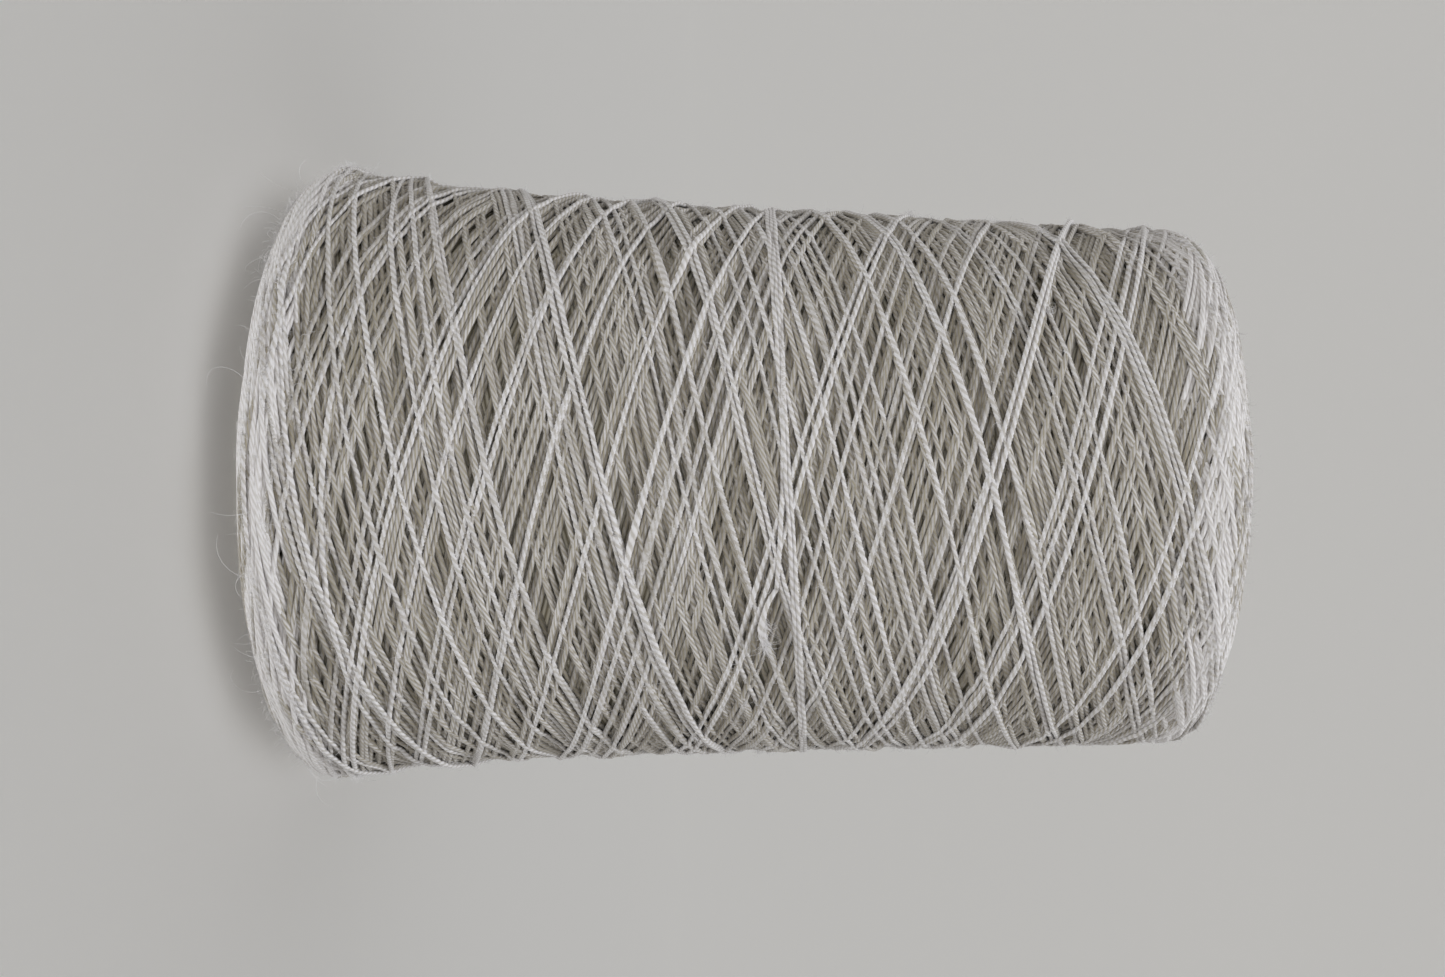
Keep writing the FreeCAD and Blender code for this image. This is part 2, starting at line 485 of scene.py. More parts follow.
def layThread(cell, height):
    # Taut thread over the relief: its height is the lowest curve above the bumps that bends no faster than the
    # package does, which is a closing by a parabola, softened; the thread is then added to the relief
    row = np.rint(height / cellHeight).astype(int) + edgeRows
    row = np.clip(row, laneReach, len(relief) - 1 - laneReach)
    col = cell % cellsRound
    under = np.maximum(np.maximum(relief[row - 1, col], relief[row, col]), relief[row + 1, col])
    padded = np.pad(under, 2 * sagReach, mode="edge")
    raised = np.full(len(under) + 2 * sagReach, -1e9)
    for k in range(2 * sagReach + 1):
        np.maximum(raised, padded[k:k + len(raised)] - sagCurve[k], out=raised)
    taut = np.full(len(under), 1e9)
    for k in range(2 * sagReach + 1):
        np.minimum(taut, raised[k:k + len(under)] + sagCurve[k], out=taut)
    local = np.convolve(np.pad(under, softReach, mode="edge"), softKernel, "valid")
    firm = windingSet["firmness"]
    seat = np.pad(firm * taut + (1 - firm) * local, softReach, mode="edge")
    seat = np.convolve(seat, softKernel, "valid")
    for lane in range(-laneReach, laneReach + 1):
        across = lane * cellHeight / (threadSet["across"] / 2)
        crest = windingSet["lift"] / 2 * (1 + math.sqrt(max(0.0, 1 - across * across)))
        relief[row + lane, col] = np.maximum(relief[row + lane, col], seat + crest)
    return seat


cell, height, stroke = guidePath(windingSet)
strokeStart = np.searchsorted(stroke, np.arange(stroke[-1] + 2))
seat = np.concatenate([layThread(cell[a:b], height[a:b]) for a, b in zip(strokeStart, strokeStart[1:])])
strokes = int(stroke[-1]) + 1
loose = windingSet["looseDoubles"]
print("laid", strokes, "strokes,", round(len(cell) * cellArc / 1000, 1), "m of thread round the package")


# The last turns, tied round the middle: the thread comes in from low down, flattens out and goes round

waistSet = {
    "middle": 81.0, "tilt": 3.8, "advance": 0.55, "turns": 2.33,  # mm above the winding's bottom, and turns
    "comeFrom": 56.0, "comeTurns": 0.70, "comeBend": 2.2,
    "endAngle": math.radians(290.5), "endDrop": 3.6, "endTurn": 1.10,
    "tone": 0.7, "swell": 0.05, "swellSteps": 20, "stepShare": 0.97,
}


def waistPath(settings):
    # Height against angle: a smooth step from the winding angle to level, tilted rings, a short step down
    comeTurn = settings["comeTurns"] * full
    length = comeTurn + settings["turns"] * full
    travel = np.arange(0, length, cellAngle)
    angle = settings["endAngle"] - length + travel
    ring = settings["middle"] + settings["tilt"] * np.cos(angle)
    ring += settings["advance"] * ((travel - comeTurn) / full - settings["turns"] / 2)
    come = np.clip(1 - travel / comeTurn, 0, 1)
    height = ring - (settings["middle"] - settings["comeFrom"]) * come ** settings["comeBend"]
    last = np.clip((travel - length) / settings["endTurn"] + 1, 0, 1)
    height -= settings["endDrop"] * last ** 2
    return np.rint(angle / cellAngle).astype(int), height


waistCell, waistHeight = waistPath(waistSet)
waistSeat = layThread(waistCell, waistHeight)


# The crests of the relief belong on the outside of the winding, which is level over more than a few threads

def levelled(values, span):
    # Mean over a square of the given span: round the package, where it wraps, then along it
    columns, rows = int(span / cellArc) | 1, int(span / cellHeight) | 1
    total = np.cumsum(np.pad(values, ((0, 0), (columns // 2 + 1, columns // 2)), mode="wrap"), axis=1)
    values = (total[:, columns:] - total[:, :-columns]) / columns
    total = np.cumsum(np.pad(values, ((rows // 2 + 1, rows // 2), (0, 0)), mode="edge"), axis=0)
    return (total[rows:] - total[:-rows]) / rows


edge = edgeRows + int(windingSet["shoulder"] / cellHeight)
inner = relief[edge:-edge]
crestMap = levelled(levelled(inner, windingSet["evenOver"]), windingSet["evenOver"])
crestMap += np.percentile(inner - crestMap, windingSet["crests"])


def centreRadius(angle, height, seatHeight):
    # Middle of a thread: the outside, less the crests' height there, plus its seat and lift, less half of it
    row = np.rint(height / cellHeight).astype(int) + edgeRows - edge
    row = np.clip(row, 0, len(crestMap) - 1)
    column = np.rint(angle / cellAngle).astype(int) % cellsRound
    seated = outerRadius(height) - crestMap[row, column] + seatHeight
    return seated + windingSet["lift"] - threadSet["thick"] / 2


def outwardNormal(angle, height):
    # Normal of the winding's outside: out from the axis, tipped by the slope of its profile
    probe, steepest = 0.6, 1.6
    slope = (outerRadius(height + probe) - outerRadius(height - probe)) / (2 * probe)
    slope = np.clip(slope, -steepest, steepest)
    flat = np.sqrt(1 + slope ** 2)
    return np.stack([np.cos(angle) / flat, np.sin(angle) / flat, -slope / flat], -1)


# Sections, as angles and reaches: two round plies with a groove between, a plain round, a single fibre
sections = {
    "plied": (np.radians([0, 52, 90, 128, 180, 232, 270, 308]), np.array([1.0, 0.98, 0.88, 0.98] * 2)),
    "round": (np.arange(6) / 6 * full, np.ones(6)),
    "fibre": (np.arange(3) / 3 * full, np.ones(3)),
}


def threadMesh(name, centre, outward, breaks, section, tone, swell=None, material=None):
    # Tubes along the paths: each ring is the section set square to the path, and a plied one turns with the
    # twist; breaks are the last rings of the threads, which are closed with caps
    count = len(centre)
    starts = np.concatenate([[0], breaks[:-1] + 1])
    joined = np.ones(count, bool)
    joined[breaks] = False
    ahead = np.arange(count)
    ahead[joined] += 1
    behind = np.arange(count)
    behind[1:][joined[:-1]] -= 1
    tangent = unit(centre[ahead] - centre[behind])
    sideways = unit(np.cross(tangent, outward))
    upward = np.cross(sideways, tangent)
    step = np.zeros(count)
    step[1:] = np.where(joined[:-1], np.linalg.norm(centre[1:] - centre[:-1], axis=1), 0)
    travel = np.cumsum(step)
    angles, reach = sections[section]
    sides = len(angles)
    plied = section == "plied"
    turned = angles[None] + (travel[:, None] / threadSet["pitch"] * full if plied else 0)
    swell = np.ones(count) if swell is None else swell
    across = threadSet["across"] / 2 * swell[:, None] * reach * np.cos(turned)
    out = threadSet["thick"] / 2 * swell[:, None] * reach * np.sin(turned)
    points = centre[:, None] + across[..., None] * sideways[:, None] + out[..., None] * upward[:, None]
    rings = np.flatnonzero(joined)
    k = np.arange(sides)
    nextK = (k + 1) % sides
    a = rings[:, None] * sides
    quads = np.stack([a + k, a + nextK, a + sides + nextK, a + sides + k], -1).reshape(-1, 4)
    # On a plain tube the plies are drawn: u runs twice round it, so that they lean as much as real ones
    timesRound, drift = {"plied": (1, 0), "round": (2, 1), "fibre": (0, 0)}[section]
    uAt = timesRound * np.concatenate([angles, [angles[0] + full]]) / full
    u = uAt[None] - drift * travel[:, None] / threadSet["pitch"]
    quadU = np.stack([u[rings][:, :-1], u[rings][:, 1:], u[rings + 1][:, 1:], u[rings + 1][:, :-1]], -1)
    near = np.repeat(travel[rings][:, None], sides, 1)
    far = np.repeat(travel[rings + 1][:, None], sides, 1)
    quadV = np.stack([near, near, far, far], -1)
    headCap = starts[:, None] * sides + k[::-1]
    tailCap = breaks[:, None] * sides + k
    corners = np.concatenate([quads.ravel(), headCap.ravel(), tailCap.ravel()])
    sizes = np.concatenate([np.full(len(quads), 4), np.full(2 * len(breaks), sides)])
    capUv = np.zeros((2 * len(breaks) * sides, 2))
    uv = np.concatenate([np.stack([quadU.ravel(), quadV.ravel()], 1), capUv])
    material = material or (packedMaterial if section == "round" else threadMaterial)
    return meshPiece(name, points.reshape(-1, 3), corners, sizes, material, uv, np.repeat(tone, sides))


def swellAlong(count, rng, every, amount, slubs=0.0):
    # Uneven thickness: smooth noise along the thread, with a few slubs
    knots = count // every + 3
    values = 1 + amount * rng.standard_normal(knots)
    values += (rng.random(knots) < slubs) * rng.uniform(*threadSet["slubSize"], knots)
    values = np.interp(np.arange(count) / every, np.arange(knots), values)
    return np.clip(values, *threadSet["swellLimits"])


# Tones: each stroke's is drawn at random in its range, the yarn's own spread; the top threads' range is set
# higher than the under threads': painted light on the outside, painted shade below
strokeSet = {
    "underThread": {"stepMm": 4.4, "section": "round", "tone": (-0.1, 0.25), "perPiece": 50, "seed": 21},
    "topThread": {"stepMm": threadSet["pitch"] / 6, "section": "plied", "tone": (0.05, 0.35), "perPiece": 11,
                  "seed": 22},
}


def strokePieces(name, first, last, stepMm, section, tone, perPiece, seed):
    # The strokes from first to last as thread pieces, sampled at about stepMm; gives their lines, normals and
    # number. A stroke's tone is drawn at random, and painted shade takes it down with the thread's depth below
    # the outside
    rng = np.random.default_rng(seed)
    lines, outs = [], []
    for number, low in enumerate(range(first, last, perPiece)):
        high = min(low + perPiece, last)
        centres, normals, breaks, tones, total = [], [], [], [], 0
        for index in range(low, high):
            a, b = strokeStart[index], min(strokeStart[index + 1] + 1, len(cell))
            at = np.linspace(a, b - 1, int((b - a) * cellArc / (leanCosine * stepMm)) + 2)
            angle = np.interp(at, np.arange(a, b), cell[a:b] * cellAngle)
            up = np.interp(at, np.arange(a, b), height[a:b])
            radius = centreRadius(angle, up, np.interp(at, np.arange(a, b), seat[a:b]))
            centres.append(polar(radius, angle, up + windingLow))
            normals.append(outwardNormal(angle, up))
            total += len(at)
            breaks.append(total - 1)
            # painted light on the loose last strokes, which lie on top
            litTone = threadSet["looseLitTone"] if index >= strokes - 2 * loose else 0.0
            # painted shade: darker the deeper the thread lies below the outside, eased out near the ends
            depth = np.clip(outerRadius(up) - radius - threadSet["shadeFrom"], *threadSet["shadeLimits"])
            depth *= np.clip(np.minimum(up, windingLength - up) / threadSet["shadeEase"], 0, 1)
            tones.append(rng.uniform(*tone) + litTone - threadSet["shade"] * depth)
        centres, normals = np.concatenate(centres), np.concatenate(normals)
        every = int(threadSet["swellEvery"] / stepMm)
        swell = swellAlong(total, rng, every, threadSet["swell"], threadSet["slubs"])
        tones = np.concatenate(tones)
        threadMesh(f"{name}{number + 1}", centres, normals, np.array(breaks), section, tones, swell)
        lines.append(centres)
        outs.append(normals)
    return np.concatenate(lines), np.concatenate(outs), number + 1


firstShown = int(strokes * windingSet["hidden"])
firstTwisted = strokes - windingSet["twistedStrokes"]
plyStep = strokeSet["topThread"]["stepMm"]
underCount = strokePieces("underThread", firstShown, firstTwisted, **strokeSet["underThread"])[2]
topLine, topOut, topCount = strokePieces("topThread", firstTwisted, strokes, **strokeSet["topThread"])
print("thread pieces:", underCount, "under,", topCount, "on top")


# Beds: closed rings of packed thread just inside what shows

bedSet = {
    "recess": 2.4, "sink": 2.3, "fromCone": 0.05,  # mm inside the ends, the outside and the cone
    "steps": 120, "rows": 14,
    "patch": 11.0, "relief": 0.4,  # mm across a patch of one lean, and its threads' height
    # painted shade: both colours darker and warmer than the thread's own
    "light": "#C8C0AE", "dark": "#9A8F76",
}


def woundBed(settings):
    # Packed thread seen through the gaps: rows of round threads, leaning one way or the other in patches, in
    # painted
    # shade: warm and dim all over, and darkest between the rows
    material = newMaterial("spun two-ply thread, deep in the winding, painted shade")
    rows = round(windSlope * full * leanCosine / threadSet["across"])
    uv = addNode(material, "UVMap", {"uv_map": "threadUv"})
    split = addNode(material, "SeparateXYZ", inputs={"Vector": (uv, "UV")})
    lays = []
    for way in (1.0, -1.0):
        along = addNode(material, "Math", multiplyAdd,
                        {0: (split, "Y"), 1: way, 2: (split, "X")})
        turned = addNode(material, "Math", multiply,
                         {0: (along, 0), 1: rows * math.pi})
        wave = addNode(material, "Math", {"operation": "SINE"}, {0: (turned, 0)})
        lays.append(addNode(material, "Math", {"operation": "ABSOLUTE"}, {0: (wave, 0)}))
    place = addNode(material, "TexCoord")
    patches = addNode(material, "TexNoise", inputs={
        "Vector": (place, "Object"), "Scale": 1 / (settings["patch"] * mm), "Detail": 0.0})
    which = addNode(material, "MapRange",
                    inputs={"Value": (patches, "Fac"), "From Min": 0.49, "From Max": 0.51})
    height = addNode(material, "Mix", {"data_type": "FLOAT"},
                     {"Factor": (which, "Result"), 2: (lays[0], 0), 3: (lays[1], 0)})
    # painted shade: dark where the rows meet, light on their crests
    body = addNode(material, "ValToRGB",
                   {"stops": [(0.1, settings["dark"]), (0.9, settings["light"])]}, {"Fac": (height, 0)})
    return finishMaterial(material, (body, "Color"), (height, 0), 1.0, settings["relief"],
                          {"Roughness": 0.9, "Specular IOR Level": 0.25})


bedMaterial = woundBed(bedSet)


def bedRing(name, innerAt, outerAt, node, settings):
    # Surface of revolution of a closed outline: up the outside, in over the top, down the inside
    low, high = settings["recess"], windingLength - settings["recess"]
    h = np.linspace(low, high, settings["rows"])
    radii = np.concatenate([outerAt(h), innerAt(h[::-1])])
    heights = np.concatenate([h, h[::-1]])
    points, quads = revolve(radii, heights + windingLow, settings["steps"], True)
    # u is the share of a turn, v the height in turns of the winding's slope
    col = np.arange(settings["steps"])[None]
    columns = np.concatenate([col, col + 1, col + 1, col]).T[None] / settings["steps"]
    ends = np.concatenate([heights, heights[:1]]) / (windSlope * full)
    lows, highs = ends[:-1, None], ends[1:, None]
    rise = np.stack([lows, lows, highs, highs], -1)
    uv = np.stack(np.broadcast_arrays(columns, rise), -1).reshape(-1, 2)
    piece = meshPiece(name, points, quads.ravel(), np.full(len(quads), 4), bedMaterial, uv)
    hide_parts(node)


def shellRadius(build):
    # Radius against height at a thickness of yarn on the cone
    return lambda h: coneRadius(h + windingLow) + build


def sunkOutside(h):
    return outerRadius(h) - bedSet["sink"]


bedRing("coreWinding", shellRadius(bedSet["fromCone"]), shellRadius(coreBuild), "winding_core", bedSet)
bedRing("middleWinding", shellRadius(coreBuild), shellRadius(middleBuild), "winding_middle", bedSet)
bedRing("outerWinding", shellRadius(middleBuild), sunkOutside, "winding_outer", bedSet)


# End faces: where every earlier stroke turned back, one arc at the radius it was laid at

endSet = {
    "perMm": 40, "fromCone": 0.3, "stepMm": 3.4,
    "reach": 0.50,  # radians each way
    "roughness": 0.55, "ripple": 0.15,  # mm of depth, and of radius
    "tone": (0.3, 0.7),
}


def turnBacks(name, buildLow, buildHigh, atNose, seed):
    # Each arc is a parabola: its height off the end is slope times angle squared over the turn-back
    rng = np.random.default_rng(seed)
    face = windingLength if atNose else 0.0
    way = -1 if atNose else 1
    turnBack = windingSet["turnBackNose"] if atNose else windingSet["turnBackBase"][0]
    base = coneRadius(face + windingLow)
    count = int((buildHigh - buildLow) * endSet["perMm"])
    radius = base + np.sort(rng.uniform(buildLow, buildHigh, count))
    steps = int(2 * endSet["reach"] * radius.mean() / endSet["stepMm"])
    bend = np.linspace(-1, 1, steps + 1)[None] * endSet["reach"]
    angle = rng.uniform(0, full, count)[:, None] + bend
    depth = np.abs(rng.normal(0, endSet["roughness"], count))[:, None] + threadSet["thick"] / 2
    height = face + way * (depth + windSlope * bend ** 2 / turnBack)
    ripple = endSet["ripple"] * np.sin(3 * bend + rng.uniform(0, full, count)[:, None])
    radii = np.maximum(radius[:, None], base + threadSet["across"] / 2) + ripple
    centre = polar(radii, angle, height + windingLow).reshape(-1, 3)
    outward = np.zeros_like(centre)
    outward[:, 2] = -way
    tone = np.repeat(rng.uniform(*endSet["tone"], count), steps + 1)
    threadMesh(name, centre, outward, threadEnds(count, steps + 1), "round", tone, material=brushedMaterial)


rimSet = {
    "count": 190, "reach": 1.0,
    "deepest": 4.2, "crowding": 2.2,  # mm from the end, and how much they crowd towards it
    "sunk": (0.35, 0.9), "ends": 1.6,  # mm below the outside, and more at the arcs' ends
    "baseTurnBack": 1.4,  # times the least turn-back at the base
    "tone": (0.4, 0.75),
}


def rimTurns(name, atNose, seed):
    # Turns packed over a shoulder: parabolas again, on the outside's own profile, sinking towards both ends
    rng = np.random.default_rng(seed)
    count, reach = rimSet["count"], rimSet["reach"]
    turnBack = windingSet["turnBackNose"] if atNose else windingSet["turnBackBase"][0] * rimSet["baseTurnBack"]
    steps = int(2 * reach * meanRadius / endSet["stepMm"])
    share = np.linspace(-1, 1, steps + 1)[None]
    depth = rng.uniform(0.1, 1, count)[:, None] ** rimSet["crowding"] * rimSet["deepest"]
    depth = depth + windSlope * (share * reach) ** 2 / turnBack
    up = windingLength - depth if atNose else depth
    angle = rng.uniform(0, full, count)[:, None] + share * reach
    sink = rng.uniform(*rimSet["sunk"], count)[:, None] + rimSet["ends"] * share ** 4
    out = outwardNormal(angle, up)
    centre = polar(outerRadius(up), angle, up + windingLow) - sink[..., None] * out
    tone = np.repeat(rng.uniform(*rimSet["tone"], count), steps + 1)
    threadMesh(name, centre.reshape(-1, 3), out.reshape(-1, 3), threadEnds(count, steps + 1), "round", tone,
               material=brushedMaterial)


rimTurns("baseRimTurns", False, 58)
rimTurns("noseRimTurns", True, 59)
outerFace = float(outerRadius(0.0) - coneRadius(windingLow))
noseFace = float(outerRadius(windingLength) - coneRadius(windingHigh))
inside = (("core", endSet["fromCone"], coreBuild), ("middle", coreBuild, middleBuild))
for number, (label, low, high) in enumerate(inside):
    turnBacks(label + "BaseTurns", low, high, False, 41 + number)
    turnBacks(label + "NoseTurns", low, high, True, 51 + number)
turnBacks("outerBaseTurns", middleBuild, outerFace, False, 45)
turnBacks("outerNoseTurns", middleBuild, noseFace, True, 55)
print("end faces are laid")


# Waist wrap, with its own two plies

def wrapThread(cells, heights, seats, settings):
    # The same height and seat as its path in the winding, sampled finely enough for its plies
    at = np.arange(0, len(cells) - 1, plyStep / cellArc * settings["stepShare"])
    angle = np.interp(at, np.arange(len(cells)), cells * cellAngle)
    up = np.interp(at, np.arange(len(cells)), heights)
    radius = centreRadius(angle, up, np.interp(at, np.arange(len(cells)), seats))
    centre = polar(radius, angle, up + windingLow)
    swell = swellAlong(len(at), np.random.default_rng(61), settings["swellSteps"], settings["swell"])
    piece = threadMesh("waistWrap", centre, outwardNormal(angle, up), threadEnds(1, len(at)), "plied",
                       np.full(len(at), settings["tone"]), swell)
    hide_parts("waist_wrap")
    return centre


waistLine = wrapThread(waistCell, waistHeight, waistSeat, waistSet)
print("waist wrap is on")


# Loose fibres: three-sided hairs, a little coarser than real ones so that they show

fibreSet = {"aboveFloor": 0.15, "thinning": 0.7, "tone": 0.6}


def fibres(name, roots, heading, aside, lengths, bends, across, steps):
    # Each fibre is part of a circle: along its heading by the sine of the bend times its length, aside by one
    # minus the cosine, and it thins towards its tip
    t = np.linspace(0, 1, steps)[None, :, None]
    turn = (bends * lengths)[:, None, None] * t
    radius = 1 / bends[:, None, None]
    points = roots[:, None] + radius * (np.sin(turn) * heading[:, None] + (1 - np.cos(turn)) * aside[:, None])
    points[..., 2] = np.maximum(points[..., 2], fibreSet["aboveFloor"])
    count = len(roots)
    taper = np.tile(1 - fibreSet["thinning"] * np.linspace(0, 1, steps) ** 2, count)
    taper = taper * across / threadSet["across"]
    outward = np.repeat(np.cross(heading, aside), steps, axis=0)
    threadMesh(name, points.reshape(-1, 3), outward, threadEnds(count, steps), "fibre",
               np.full(count * steps, fibreSet["tone"]), taper)


def headings(normals, spread, rng):
    # Directions within the spread of the normals, and a direction square to each
    heading = unit(normals + spread * rng.standard_normal(normals.shape))
    return heading, unit(np.cross(heading, rng.standard_normal(normals.shape)))


# The zone is a share of the winding's height; length and across are in mm
fuzzSet = {
    "side": {"zone": (0.0, 1.0), "count": 9000, "length": (0.5, 2.0), "across": 0.055, "spread": 1.3},
    "base": {"zone": (0.0, 0.05), "count": 3200, "length": (0.6, 2.6), "across": 0.050, "spread": 0.8},
    "nose": {"zone": (0.955, 1.0), "count": 1600, "length": (0.6, 2.0), "across": 0.050, "spread": 0.8},
    "baseCurls": {"zone": (0.0, 0.04), "count": 70, "length": (4.0, 11.0), "across": 0.065, "spread": 0.7},
}
fuzzBend, fuzzLift, longFrom = (0.4, 2.2), 0.3, 4


def fuzz(name, settings, seed):
    # Fibres rooted on the top threads of a zone, standing off them at random
    rng = np.random.default_rng(seed)
    share = (topLine[:, 2] - windingLow) / windingLength
    inZone = np.flatnonzero((share >= settings["zone"][0]) & (share <= settings["zone"][1]))
    picked = rng.choice(inZone, settings["count"])
    heading, aside = headings(topOut[picked], settings["spread"], rng)
    lengths = rng.uniform(*settings["length"], settings["count"])
    bends = rng.uniform(*fuzzBend, settings["count"]) / lengths * 1.6
    steps = 12 if lengths.max() > longFrom else 4
    roots = topLine[picked] + fuzzLift * topOut[picked]
    fibres(name, roots, heading, aside, lengths, bends, settings["across"], steps)


for number, place in enumerate(fuzzSet):
    fuzz(place + "Fuzz", fuzzSet[place], 71 + number)

nepSet = {
    "count": 26, "fibresEach": 16, "steps": 7,
    "lift": 0.4, "size": 0.22,  # mm off the thread, and spread of the roots
    "length": (0.8, 2.0), "bend": (1.2, 2.6), "across": 0.07,
}


def neps(settings):
    # Small tangles: short curled fibres round one point each
    rng = np.random.default_rng(81)
    picked = np.repeat(rng.choice(len(topLine), settings["count"]), settings["fibresEach"])
    count = len(picked)
    roots = topLine[picked] + settings["lift"] * topOut[picked]
    roots = roots + settings["size"] * rng.standard_normal((count, 3))
    heading, aside = headings(0.3 * topOut[picked], 1.0, rng)
    lengths = rng.uniform(*settings["length"], count)
    bends = rng.uniform(*settings["bend"], count)
    fibres("neps", roots, heading, aside, lengths, bends, settings["across"], settings["steps"])


neps(nepSet)
print("fuzz is on")


# The yarn's end: it leaves the wrap, lies beside it and frays

yarnEndSet = {
    "steps": 26, "by": 0.3,  # how far back from the rod's middle it passes
    "swell": 0.75, "swellAt": 0.72, "swellOver": 0.2,  # opened up near the tip, as shares of its length
    "tone": 0.7,
    "fibres": 150, "fibreSteps": 7, "from": 0.45, "across": 0.07,
    "lean": 0.12, "spread": 0.22, "rootSpread": 0.22, "rootLift": 0.15,
    "length": (1.0, 3.6), "bend": (0.2, 0.7),
}


def yarnEnd(settings):
    # A quadratic curve from the end of the wrap, by way of the near end of the CAD rod, to its far end
    rng = np.random.default_rng(91)
    rod = nodePoints("yarn_end")
    middle = (rod.min(0) + rod.max(0)) / 2
    along = np.linalg.svd(rod - rod.mean(0), full_matrices=False)[2][0]
    reach = np.abs((rod - middle) @ along).max() - threadSet["across"] / 2
    begin = waistLine[-1]
    if np.dot(begin - middle, along) > 0:
        along = -along
    out = unit(np.array([middle[0], middle[1], 0.0]))
    t = np.linspace(0, 1, settings["steps"])[:, None]
    near, tip = middle - along * reach * settings["by"], middle + along * reach
    line = (1 - t) ** 2 * begin + 2 * t * (1 - t) * near + t ** 2 * tip
    swell = 1 + settings["swell"] * np.exp(-((t[:, 0] - settings["swellAt"]) / settings["swellOver"]) ** 2)
    piece = threadMesh("yarnEnd", line, np.tile(out, (len(line), 1)), threadEnds(1, len(line)), "plied",
                       np.full(len(line), settings["tone"]), swell)
    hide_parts("yarn_end")
    count = settings["fibres"]
    at = rng.uniform(settings["from"], 1.0, count)
    roots = np.stack([np.interp(at, t[:, 0], line[:, axis]) for axis in range(3)], -1)
    heading, aside = headings(np.tile(along + settings["lean"] * out, (count, 1)), settings["spread"], rng)
    lengths = rng.uniform(*settings["length"], count)
    roots += settings["rootSpread"] * rng.standard_normal((count, 3)) + settings["rootLift"] * out
    bends = rng.uniform(*settings["bend"], count)
    fibres("frayedEnd", roots, heading, aside, lengths, bends, settings["across"], settings["fibreSteps"])


yarnEnd(yarnEndSet)


# Transfer tail: a helix round the bare cone, one thread to each turn, which climbs under the winding

tailSet = {
    "climb": 1.1, "under": 0.6,  # radians over which it climbs, and mm that it goes under the winding
    "tone": 0.3, "swell": 0.04, "swellSteps": 20,
}


def transferTail(settings):
    # Height is a thread's width for each turn, then a smooth step, at the cone's radius and half a thread
    rng = np.random.default_rng(95)
    heights = nodeProfile("transfer_tail")[1]
    low, high = heights.min() + threadSet["across"] / 2, heights.max() - threadSet["across"] / 2
    turns = (high - low) / threadSet["across"]
    climb = settings["climb"]
    angle = np.arange(0, turns * full + climb, plyStep / coneRadius(low))
    up = low + threadSet["across"] * np.minimum(angle / full, turns)
    rise = np.clip((angle - turns * full) / climb, 0, 1)
    up += (windingLow + settings["under"] - high) * rise ** 2 * (3 - 2 * rise)
    centre = polar(coneRadius(up) + threadSet["thick"] / 2, angle, up)
    swell = swellAlong(len(angle), rng, settings["swellSteps"], settings["swell"])
    piece = threadMesh("transferTail", centre, polar(1.0, angle, 0.0), threadEnds(1, len(angle)), "plied",
                       np.full(len(angle), settings["tone"]), swell)
    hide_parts("transfer_tail")


transferTail(tailSet)
print("yarn end and transfer tail are on")


# The cone: rolled board with a paper pasted round it

boardSet = {"light": "#A08C70", "dark": "#7D6B52", "plyMm": 0.45, "fibresPerMm": 0.9, "blotchesPerMm": 0.07,
            "ringShow": 0.22, "blotchShow": 0.3, "reliefMm": 0.12}


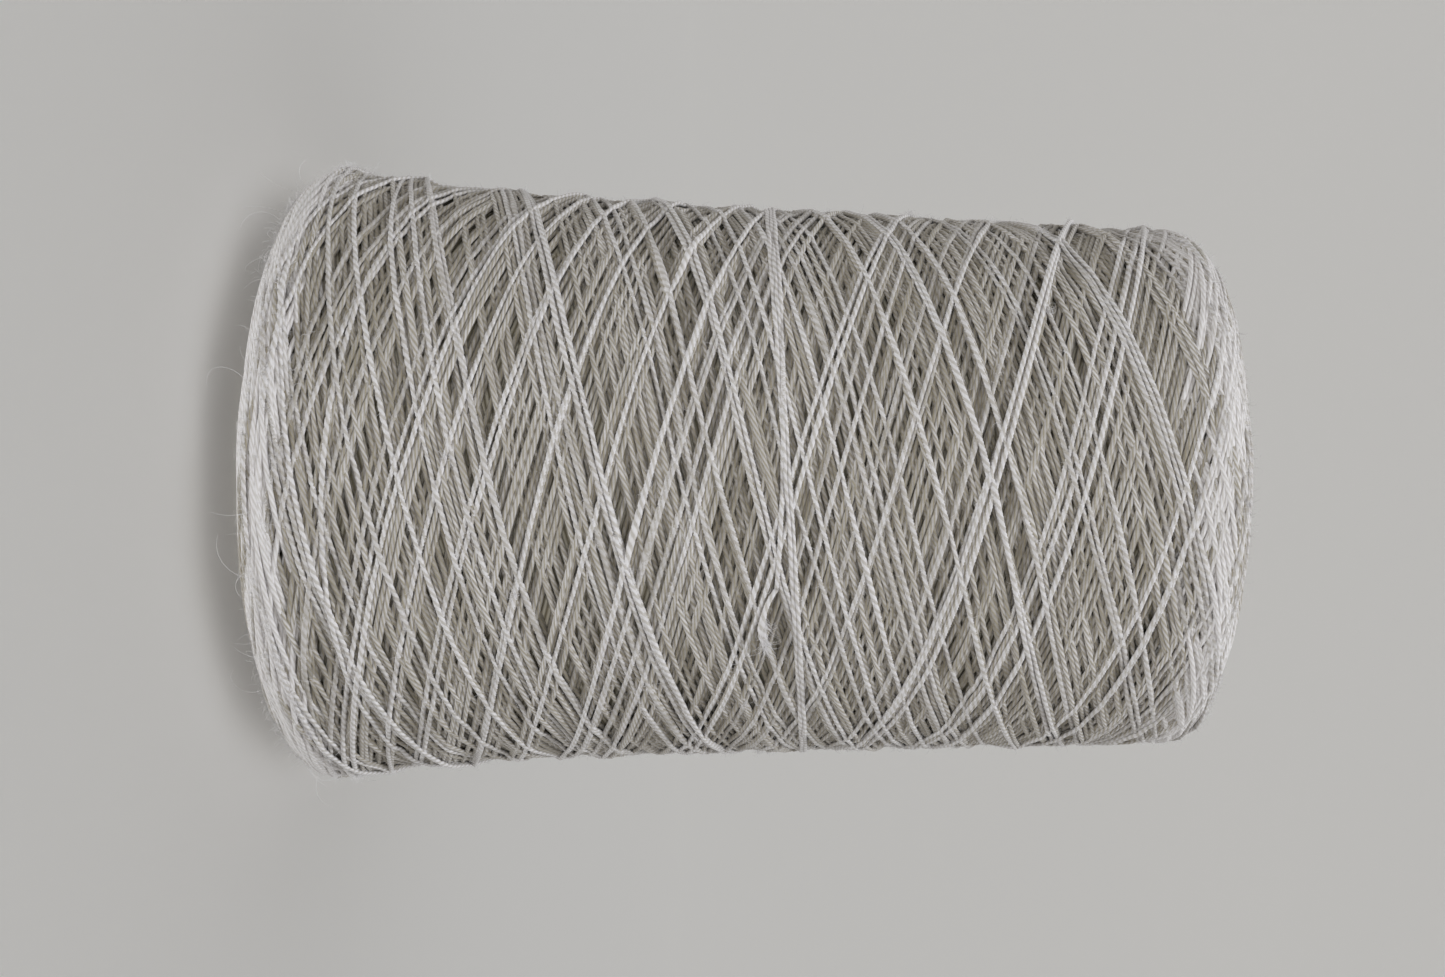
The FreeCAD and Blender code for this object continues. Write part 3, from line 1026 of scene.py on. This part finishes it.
def rolledBoard(settings):
    # Grey-brown paperboard, rolled from several plies: fibrous and matt, its plies showing as rings at the cut
    # rims. Real fibres are finer; these are drawn about a millimetre long, so that they show
    material = newMaterial("rolled paperboard")
    place = addNode(material, "TexCoord")
    fibre = addNode(material, "TexNoise",
                    inputs={"Vector": (place, "Object"), "Scale": settings["fibresPerMm"] / mm,
                            "Detail": 6.0, "Roughness": 0.7})
    blotch = addNode(material, "TexNoise", inputs={
        "Vector": (place, "Object"), "Scale": settings["blotchesPerMm"] / mm, "Detail": 3.0})
    split = addNode(material, "SeparateXYZ", inputs={"Vector": (place, "Object")})
    flat = addNode(material, "CombineXYZ", inputs={"X": (split, "X"), "Y": (split, "Y")})
    radius = addNode(material, "VectorMath", {"operation": "LENGTH"}, {0: (flat, "Vector")})
    rings = addNode(material, "Math", multiply,
                    {0: (radius, "Value"), 1: full / (settings["plyMm"] * mm)})
    wave = addNode(material, "Math", {"operation": "SINE"}, {0: (rings, 0)})
    geometry = addNode(material, "NewGeometry")
    normal = addNode(material, "SeparateXYZ", inputs={"Vector": (geometry, "Normal")})
    facing = addNode(material, "Math", {"operation": "ABSOLUTE"}, {0: (normal, "Z")})
    rim = addNode(material, "MapRange",
                  inputs={"Value": (facing, 0), "From Min": 0.75, "From Max": 0.95})
    plies = addNode(material, "Math", multiply, {0: (wave, 0), 1: (rim, "Result")})
    mixed = addNode(material, "Math", multiplyAdd,
                    {0: (plies, 0), 1: settings["ringShow"], 2: (fibre, "Fac")})
    shade = addNode(material, "Math", multiplyAdd,
                    {0: (blotch, "Fac"), 1: settings["blotchShow"], 2: (mixed, 0)})
    body = addNode(material, "ValToRGB",
                   {"stops": [(0.35, settings["dark"]), (0.95, settings["light"])]}, {"Fac": (shade, 0)})
    return finishMaterial(material, (body, "Color"), (mixed, 0), 0.5, settings["reliefMm"],
                          {"Roughness": 0.82, "Specular IOR Level": 0.35})


paperSet = {"light": "#D8D1C0", "dark": "#C3B9A2", "fibresPerMm": 0.45, "reliefMm": 0.05}


def jacketPaper(settings):
    # Calendered cream paper: smooth, faintly mottled, its fibres lying round the cone, a little shine
    material = newMaterial("calendered paper")
    place = addNode(material, "TexCoord")
    stretch = addNode(material, "Mapping",
                      inputs={"Vector": (place, "Object"), "Scale": (1.0, 1.0, 4.0)})
    fibre = addNode(material, "TexNoise",
                    inputs={"Vector": (stretch, "Vector"), "Scale": settings["fibresPerMm"] / mm,
                            "Detail": 5.0, "Roughness": 0.65})
    body = addNode(material, "ValToRGB",
                   {"stops": [(0.3, settings["dark"]), (0.7, settings["light"])]}, {"Fac": (fibre, "Fac")})
    return finishMaterial(material, (body, "Color"), (fibre, "Fac"), 0.3, settings["reliefMm"],
                          {"Roughness": 0.5, "Specular IOR Level": 0.45})


for node, material in (("cone_board", rolledBoard(boardSet)), ("cone_surface_paper", jacketPaper(paperSet))):
    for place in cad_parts[node].material_slots:
        place.material = material
print("cone materials are on")

pieces = [piece for piece in bpy.context.scene.objects
          if piece.type == "MESH" and piece.name != "paleSweep"]
for piece in pieces:
    litPieces.objects.link(piece)
    if not piece.name.endswith("BaseTurns"):
        litSides.objects.link(piece)
triangles = [len(piece.data.loops) - 2 * len(piece.data.polygons) for piece in pieces]
print("triangles:", sum(triangles), "in all,", max(triangles), "in the largest piece")
